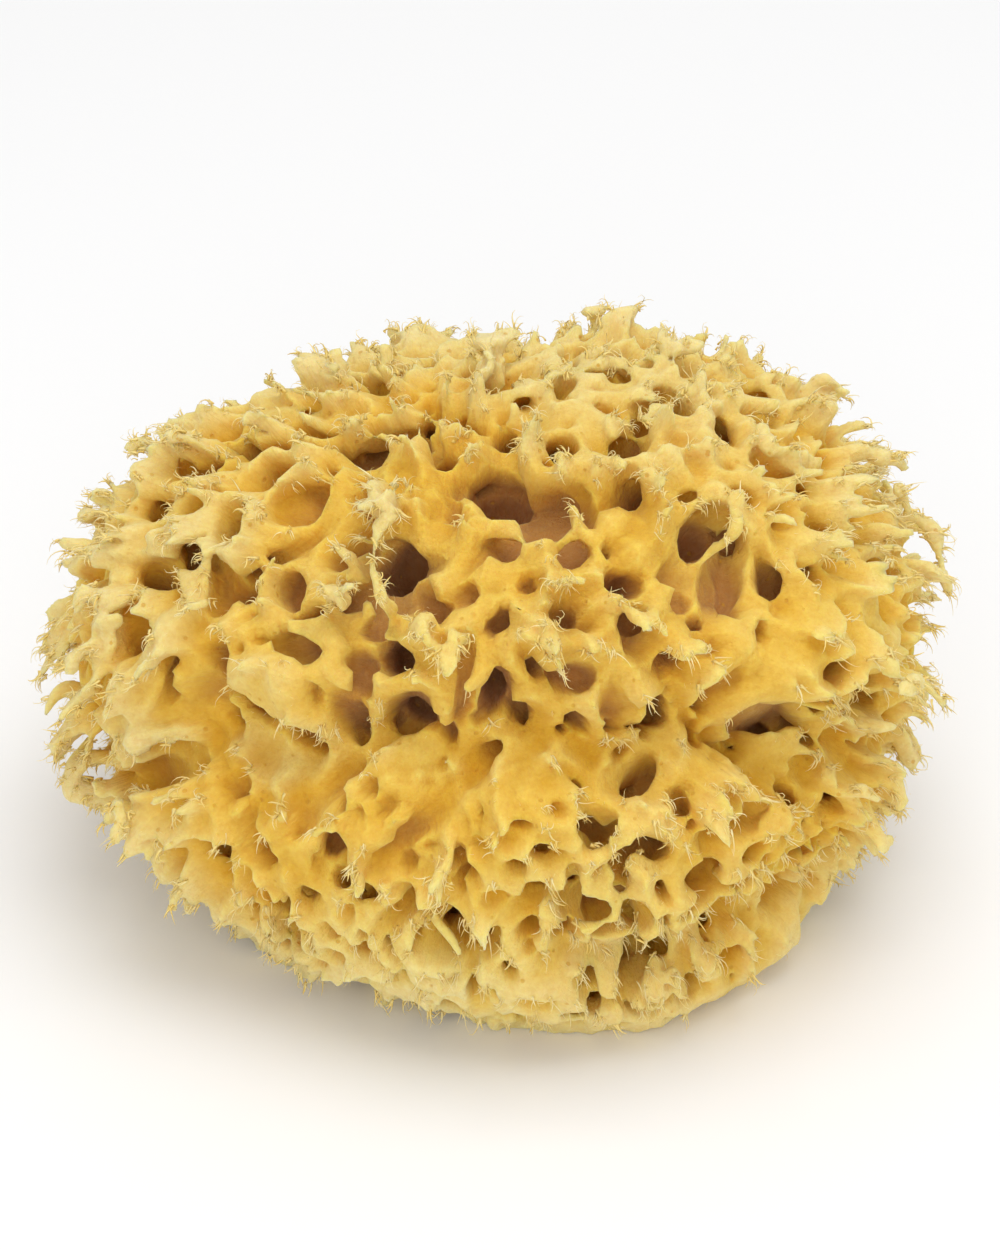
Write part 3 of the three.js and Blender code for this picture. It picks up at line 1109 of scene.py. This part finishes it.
@dataclass(frozen=True)
class FibreFinish:
    """Soft, felt-like sponge fibre, with painted light and shade: pale straw painted on the tips as light
    and amber to brown painted in the hollows as shade.
    """

    # Painted light and shade: the first two tones are painted light on the tips, the next five are painted
    # shade from shallow to deep hollows (amber is also the fibre's own tone in its mottle), and the last is
    # painted light on the outer sides.
    pale: Colour = colour(240, 223, 156)
    straw: Colour = colour(239, 216, 130)
    honey: Colour = colour(236, 205, 100)
    amber: Colour = colour(225, 177, 52)
    umber: Colour = colour(208, 155, 50)
    painted_dusk: Colour = colour(198, 148, 70)
    shade: Colour = colour(182, 132, 88)
    painted_edge_light: Colour = colour(224, 207, 150)
    core: tuple[float, float, float] = (0.0, 0.0, 41 * MM)

    def material(self) -> bpy.types.Material:
        """Builds the material.

        Returns:
            The new material.
        """
        material = bpy.data.materials.new("sponge_fibre")
        material.use_nodes = True
        nodes = Nodes(material.node_tree)
        shader = material.node_tree.nodes["Principled BSDF"]
        place = nodes.add("ShaderNodeTexCoord").outputs["Object"]
        centred = nodes.vector("SUBTRACT", place, self.core).outputs["Vector"]
        ray = nodes.vector("NORMALIZE", centred).outputs["Vector"]
        grain = nodes.noise(place, 900.0, Detail=4.0, Roughness=0.7)
        prick = self.pricks(nodes, place)
        tone = self.tone(nodes, place, ray)
        tone = nodes.mix(nodes.ramp(grain, 0.3, 0.7, 0.25, 0.0), tone, self.amber, Blend.TINT)
        # Painted shade: the pinholes are painted darker, towards umber.
        tone = nodes.mix(nodes.maths("MULTIPLY", prick, 0.6), tone, self.umber)
        nodes.put(shader.inputs["Base Color"], tone)
        nodes.put(shader.inputs["Normal"], self.felt(nodes, place, ray, grain, prick))
        shader.inputs["Roughness"].default_value = 0.92
        shader.inputs["Specular IOR Level"].default_value = 0.15
        shader.inputs["Sheen Weight"].default_value = 0.06
        shader.inputs["Sheen Roughness"].default_value = 0.6
        shader.inputs["Subsurface Weight"].default_value = 0.7
        shader.inputs["Subsurface Radius"].default_value = (1.0, 0.82, 0.38)
        shader.inputs["Subsurface Scale"].default_value = 3 * MM
        return material

    def tone(self, nodes: Nodes, place: Socket, ray: Socket) -> Socket:
        """The colour of the fibre, from how deep it lies and how much fibre is round it: painted light at
        the tips and painted shade in the hollows.

        Args:
            nodes: the material's nodes.
            place: the points' places on the body.
            ray: the points' directions from the core.

        Returns:
            The colour.
        """
        hollow, deep = nodes.reading("hollow"), nodes.reading("depth")
        patch = nodes.noise(place, 70.0, Detail=3.0)
        crowd = nodes.maths("ADD", hollow, nodes.ramp(patch, 0.3, 0.7, -0.11, 0.11))
        crowd = nodes.maths("ADD", crowd, nodes.ramp(deep, 0.1, 0.9, -0.12, 0.08))
        # Painted light and shade: the tips are painted pale straw, and the colour is painted darker through
        # honey and amber to umber as the fibre lies deeper and more fibre crowds round it, where less light
        # reaches.
        tips = nodes.mix(nodes.ramp(deep, 0.05, 0.5), self.pale, self.straw)
        tone = nodes.mix(nodes.ramp(crowd, 0.18, 0.46), tips, self.honey)
        tone = nodes.mix(nodes.ramp(deep, 0.4, 0.95, 0.0, 0.36), tone, self.amber)
        tone = nodes.mix(nodes.ramp(crowd, 0.42, 0.74), tone, self.amber)
        tone = nodes.mix(nodes.ramp(crowd, 0.70, 0.95), tone, self.umber)
        # Painted shade: the deep, crowded floors of the canals are painted dusk brown and then shade brown.
        inside = nodes.maths("MULTIPLY", nodes.ramp(deep, 0.8, 1.8), nodes.ramp(crowd, 0.45, 0.75))
        tone = nodes.mix(nodes.maths("MULTIPLY", inside, 0.75), tone, self.painted_dusk)
        tone = nodes.mix(nodes.ramp(deep, 1.2, 2.2, 0.0, 0.9), tone, self.shade)
        # Painted light: near the outside, the fibre on the sides turned away from the front is painted
        # paler, as light showing through its thin edges.
        edge_light_share = nodes.ramp(nodes.facing(ray, 24, 5), 0.84, 0.3, 0.0, 0.45)
        outer = nodes.maths("MULTIPLY", edge_light_share, nodes.ramp(deep, 1.0, 0.4))
        tone = nodes.mix(outer, tone, self.painted_edge_light)
        # Painted shade: the fibre low on the front right, which gets less light, is painted towards amber.
        return nodes.mix(nodes.ramp(nodes.facing(ray, 34, -16), 0.78, 0.97, 0.0, 0.25), tone, self.amber)

    @staticmethod
    def pricks(nodes: Nodes, place: Socket) -> Socket:
        """A mask of tiny scattered pinholes.

        Args:
            nodes: the material's nodes.
            place: the points' places on the body.

        Returns:
            The mask, 1 in a pinhole.
        """
        cells = nodes.add("ShaderNodeTexVoronoi", Vector=place, Scale=420.0)
        draw = nodes.add("ShaderNodeSeparateColor", Color=cells.outputs["Color"]).outputs[0]
        spot = nodes.ramp(cells.outputs["Distance"], 0.1, 0.2, 1.0, 0.0)
        return nodes.maths("MULTIPLY", spot, nodes.ramp(draw, 0.62, 0.66))

    @staticmethod
    def felt(nodes: Nodes, place: Socket, ray: Socket, grain: Socket, prick: Socket) -> Socket:
        """The fine felted surface, with streaks that run outwards and the pinholes.

        Args:
            nodes: the material's nodes.
            place: the points' places on the body.
            ray: the points' directions from the core.
            grain: the noise that also mottles the colour.
            prick: the mask of pinholes.

        Returns:
            The normal.
        """
        fuzz = nodes.noise(place, 1500.0, Detail=3.0, Roughness=0.6)
        streak = nodes.maths("MULTIPLY", nodes.noise(ray, 75.0, Detail=3.0), 3.5)
        holes = nodes.maths("MULTIPLY", prick, 2.0)
        height = nodes.maths("SUBTRACT", nodes.maths("ADD", fuzz, grain), holes)
        height = nodes.maths("ADD", height, streak)
        return nodes.add("ShaderNodeBump", Strength=0.5, Distance=0.3 * MM, Height=height).outputs["Normal"]


@dataclass(frozen=True)
class HairFinish:
    """The pale, slightly glassy loose fibres."""

    pale: Colour = colour(250, 235, 176)
    gold: Colour = colour(244, 217, 136)

    def material(self) -> bpy.types.Material:
        """Builds the material.

        Returns:
            The new material.
        """
        material = bpy.data.materials.new("loose_fibre")
        material.use_nodes = True
        nodes = Nodes(material.node_tree)
        shader = material.node_tree.nodes["Principled BSDF"]
        place = nodes.add("ShaderNodeTexCoord").outputs["Object"]
        streak = nodes.ramp(nodes.noise(place, 600.0, Detail=2.0), 0.35, 0.7)
        nodes.put(shader.inputs["Base Color"], nodes.mix(streak, self.pale, self.gold))
        shader.inputs["Roughness"].default_value = 0.6
        shader.inputs["Specular IOR Level"].default_value = 0.4
        return material


@dataclass(frozen=True)
class Tufts:
    """Pointed places of the body and the ways they point."""

    places: np.ndarray
    ways: np.ndarray

    def some(self, share: float) -> Tufts:
        """A share of them, picked at random."""
        picked = np.random.default_rng(11).random(len(self.places)) < share
        return Tufts(self.places[picked], self.ways[picked])


@dataclass
class Fibres:
    """Loose fibres that stand on the body, all made as copies of one tapered hair."""

    name: str
    seed: int
    rings: int
    thickness: float
    length: tuple[float, float]  # from the shortest to the longest
    clump: tuple[int, int]  # how many stand on one tip, from the fewest to the most
    fan: float  # how far a clump spreads
    curl: float
    hook: float  # how sharply the ends turn
    sag: float
    flat: float = 1.0  # how thick a hair is one way against the other
    sink: float = 0.5 * MM  # how deep the roots sit
    tip: float = 0.14  # the tip's width against the root's

    def width(self, left: float) -> float:
        """How wide a hair is, against its root, where a share of its length is left."""
        return self.tip + (1.0 - self.tip) * left

    def pattern(self) -> tuple[np.ndarray, np.ndarray]:
        """Models one straight hair along Z, of length 1 and radius 1, ring by ring.

        Returns:
            Its points, and its faces as triples of point numbers.
        """
        bpy.ops.object.select_all(action="DESELECT")
        bpy.ops.mesh.primitive_circle_add(vertices=3, radius=1.0, fill_type="NGON")
        hair = bpy.context.object
        bpy.ops.object.mode_set(mode="EDIT")
        step = 1.0 / self.rings
        for ring in range(self.rings):
            bpy.ops.mesh.extrude_region_move(TRANSFORM_OT_translate={"value": (0.0, 0.0, step)})
            left = 1.0 - (ring + 1) / self.rings
            size = self.width(left) / self.width(left + step)
            bpy.ops.transform.resize(value=(size, size, 1.0))
        bpy.ops.mesh.select_all(action="SELECT")
        bpy.ops.mesh.quads_convert_to_tris()
        bpy.ops.mesh.normals_make_consistent(inside=False)
        bpy.ops.object.mode_set(mode="OBJECT")
        points = np.array([tuple(vertex.co) for vertex in hair.data.vertices])
        faces = np.array([tuple(polygon.vertices) for polygon in hair.data.polygons])
        bpy.data.meshes.remove(hair.data)
        return points, faces

    def paths(
        self, roots: np.ndarray, aims: np.ndarray, ways: np.ndarray, rng: np.random.Generator
    ) -> np.ndarray:
        """The curling middle line of each hair.

        Args:
            roots: where the hairs start.
            aims: their first directions, as unit vectors.
            ways: the axes that they curl about.
            rng: source of the curl.

        Returns:
            Points, as hair by ring by three numbers.
        """
        count = len(roots)
        side = unit(np.cross(aims, ways + rng.normal(0, 0.35, (count, 3))))
        length = rng.uniform(*self.length, count) * rng.uniform(0.6, 1.0, count)
        turn = rng.normal(0, self.curl, count)
        hook = self.hook * rng.uniform(0.3, 1.3, count)
        line = [roots]
        for ring in range(self.rings):
            share = (ring + 0.5) / self.rings
            angle = turn * share + hook * share**2
            aim = aims * np.cos(angle)[:, None] + side * np.sin(angle)[:, None]
            aim[:, 2] -= self.sag * share
            line.append(line[-1] + unit(aim) * (length / self.rings)[:, None])
        return np.stack(line, axis=1)

    def build(self, tufts: Tufts, finish: bpy.types.Material) -> bpy.types.Object:
        """Sets a clump of hairs on every tuft and joins them all in one mesh.

        Args:
            tufts: the tips that the clumps stand on.
            finish: the material of the hairs.

        Returns:
            The new piece.
        """
        rng = np.random.default_rng(self.seed)
        clumps = rng.integers(self.clump[0], self.clump[1] + 1, len(tufts.places))
        roots, aims = np.repeat(tufts.places, clumps, axis=0), np.repeat(tufts.ways, clumps, axis=0)
        aims = unit(aims + rng.normal(0, self.fan, aims.shape))
        roots = roots - aims * self.sink + rng.normal(0, 0.35 * MM, roots.shape)
        ways = np.repeat(rng.normal(0, 1, (len(clumps), 3)), clumps, axis=0)
        line = self.paths(roots, aims, ways, rng)
        line[..., 2] = np.maximum(line[..., 2], 0.5 * MM)
        points, faces = self.pattern()
        ring = np.rint(points[:, 2] * self.rings).astype(int)
        along = unit(np.gradient(line, axis=1))
        first = unit(np.cross(along, rng.normal(0, 1, (len(line), 1, 3))))
        second = np.cross(along, first)
        thick = (self.thickness * rng.uniform(0.6, 1.25, len(line)))[:, None, None]
        offset = first[:, ring] * points[None, :, :1] + second[:, ring] * points[None, :, 1:2] * self.flat
        places = line[:, ring] + thick * offset
        shift = np.arange(len(line))[:, None, None] * len(points)
        piece = mesh_piece(self.name, places.reshape(-1, 3), (faces[None] + shift).reshape(-1, 3))
        piece.data.materials.append(finish)
        bpy.ops.object.shade_smooth()
        return piece


def attribute(mesh: bpy.types.Mesh, name: str) -> np.ndarray:
    """The values that a mesh keeps at its points.

    Args:
        mesh: the mesh.
        name: the name of the values.

    Returns:
        One value for each point.
    """
    values = np.empty(len(mesh.vertices), np.float32)
    mesh.attributes[name].data.foreach_get("value", values)
    return values


def vectors(source: object, name: str) -> np.ndarray:
    """The three-number values of a list of points.

    Args:
        source: the points, or the values that a mesh keeps at them.
        name: which value is read.

    Returns:
        Rows of three numbers.
    """
    values = np.empty(len(source) * 3, np.float32)
    source.foreach_get(name, values)
    return values.reshape(-1, 3).astype(float)


def spaced(points: np.ndarray, order: np.ndarray, gap: float) -> np.ndarray:
    """Picks points in order, leaving out any that lies nearer than gap to one already picked.

    Args:
        points: all the points.
        order: the numbers of the points to try, in turn.
        gap: the least distance.

    Returns:
        The numbers of the points picked.
    """
    taken: dict[tuple[int, int, int], list[int]] = {}
    picked = []
    cells = np.floor(points / gap).astype(int)
    around = [(i, j, k) for i in (-1, 0, 1) for j in (-1, 0, 1) for k in (-1, 0, 1)]
    for index in order:
        cell = tuple(cells[index])
        near = [n for i, j, k in around for n in taken.get((cell[0] + i, cell[1] + j, cell[2] + k), ())]
        if near and (np.linalg.norm(points[near] - points[index], axis=1) < gap).any():
            continue
        taken.setdefault(cell, []).append(index)
        picked.append(index)
    return np.array(picked)


@dataclass(frozen=True)
class Fringe:
    """The loose fibres of the body: claws and whiskers on its tips and down on its edges."""

    body: bpy.types.Object
    core: np.ndarray
    pointed: float = 0.30  # the most fibre round a tip
    tip_gap: float = 2.2 * MM
    thin: float = 0.34  # the most fibre round a thin edge
    edge_gap: float = 1.7 * MM
    clawed: float = 0.55  # the share of the tips with claws
    frayed: float = 0.58  # the share with whiskers

    def find(self, sharp: float, gap: float) -> Tufts:
        """Finds the pointed places of the body.

        Args:
            sharp: the most fibre that may lie round a place that counts as pointed.
            gap: the least distance between two of them.

        Returns:
            The places, sharpest first.
        """
        mesh = self.body.data
        places, open_way = vectors(mesh.vertices, "co"), vectors(mesh.attributes["open_way"].data, "vector")
        hollow, depth = attribute(mesh, "hollow"), attribute(mesh, "depth")
        on_skin = (depth > -0.1) & (depth < 0.9) & (places[:, 2] > 3 * MM)
        fit = np.flatnonzero((hollow < sharp) & on_skin)
        order = fit[np.argsort(hollow[fit])]
        picked = spaced(places, order, gap)
        outward, down = unit(places[picked] - self.core), np.array((0.0, 0.0, 0.2))
        return Tufts(places[picked], unit(open_way[picked] + 0.3 * outward - down))

    def grow(self) -> list[bpy.types.Object]:
        """Makes the three sets of fibres, each as one piece.

        Returns:
            The pieces.
        """
        tips, edges = self.find(self.pointed, self.tip_gap), self.find(self.thin, self.edge_gap)
        hair = HairFinish().material()
        claw = HairFinish(colour(248, 226, 148), colour(243, 212, 116)).material()
        claws = Fibres(
            "claws", seed=4, rings=5, thickness=0.34 * MM, length=(1.8 * MM, 4.0 * MM), clump=(2, 5),
            fan=0.36, curl=0.4, hook=1.7, sag=0.7, flat=0.6, sink=0.9 * MM,
        )
        whiskers = Fibres(
            "whiskers", seed=3, rings=5, thickness=0.16 * MM, length=(1.8 * MM, 4.6 * MM), clump=(2, 5),
            fan=0.32, curl=0.5, hook=2.4, sag=0.9,
        )
        down = Fibres(
            "down", seed=5, rings=3, thickness=0.05 * MM, length=(0.6 * MM, 1.5 * MM), clump=(1, 2),
            fan=0.5, curl=0.7, hook=0.8, sag=0.3,
        )
        return [
            claws.build(tips.some(self.clawed), claw),
            whiskers.build(tips.some(self.frayed), hair),
            down.build(edges, hair),
        ]


@dataclass(frozen=True)
class Studio:
    """The pale floor, the soft lights and the camera."""

    elevation: float = 35.0
    distance: float = 0.70
    target_height: float = 46.5 * MM
    lens: float = 124.6
    side: float = 0.8 * MM
    sensor: float = 36.0

    def floor(self) -> bpy.types.Object:
        """A pale floor that runs past the view.

        Returns:
            The floor.
        """
        bpy.ops.mesh.primitive_plane_add(size=8.0, location=(0.0, 0.0, 0.0))
        floor = bpy.context.object
        floor.name = "floor"
        material = bpy.data.materials.new("pale_floor")
        material.use_nodes = True
        shader = material.node_tree.nodes["Principled BSDF"]
        shader.inputs["Base Color"].default_value = (0.95, 0.95, 0.95, 1.0)
        floor.data.materials.append(material)
        return floor

    def lamp(self, name: str, place: tuple[float, float, float], size: float, power: float) -> None:
        """A square soft light that faces the sponge.

        Args:
            name: its name.
            place: where it stands.
            size: the length of its sides.
            power: its watts.
        """
        light = bpy.data.lights.new(name, "AREA")
        light.size = size
        light.energy = power
        lamp = bpy.data.objects.new(name, light)
        bpy.context.scene.collection.objects.link(lamp)
        lamp.location = place
        facing = Vector((0.0, 0.0, self.target_height)) - Vector(place)
        lamp.rotation_euler = facing.to_track_quat("-Z", "Y").to_euler()

    def light(self) -> None:
        """Soft light from above and a little in front."""
        world = bpy.data.worlds.new("studio")
        bpy.context.scene.world = world
        world.use_nodes = True
        world.node_tree.nodes["Background"].inputs["Color"].default_value = (1.0, 1.0, 1.0, 1.0)
        world.node_tree.nodes["Background"].inputs["Strength"].default_value = 0.66
        self.lamp("top_light", place=(0.1, 0.0, 1.0), size=0.7, power=4.2)
        self.lamp("front_light", place=(-0.1, -0.95, 0.55), size=0.8, power=3.0)
        bpy.context.scene.view_settings.view_transform = "Standard"

    def camera(self) -> None:
        """The camera, aimed at the middle of the sponge from the front and above."""
        data = bpy.data.cameras.new("camera")
        data.sensor_width = self.sensor
        data.lens = self.lens
        camera = bpy.data.objects.new("camera", data)
        bpy.context.scene.collection.objects.link(camera)
        rise = math.radians(self.elevation)
        camera.location = (
            self.side,
            -self.distance * math.cos(rise),
            self.target_height + self.distance * math.sin(rise),
        )
        camera.rotation_euler = (math.pi / 2 - rise, 0.0, 0.0)
        bpy.context.scene.camera = camera


def main() -> None:
    """Builds the sponge and its studio."""
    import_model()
    bpy.ops.object.select_all(action="DESELECT")
    studio = Studio()
    studio.camera()
    envelope = Envelope()
    skeleton = Skeleton(envelope, Lattice(pitch=0.6 * MM))
    body = skeleton.build()
    body.data.materials.append(FibreFinish().material())
    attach(body, "root")
    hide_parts("sponge")
    log.info("%s: %d faces", body.name, len(body.data.polygons))
    for fibres in Fringe(body, np.array(envelope.core)).grow():
        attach(fibres, "root")
        log.info("%s: %d faces", fibres.name, len(fibres.data.polygons))
    studio.floor()
    studio.light()
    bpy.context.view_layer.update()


if __name__ == "__main__":
    logging.basicConfig(level=logging.INFO, format="%(relativeCreated)6.0f %(message)s")
    main()
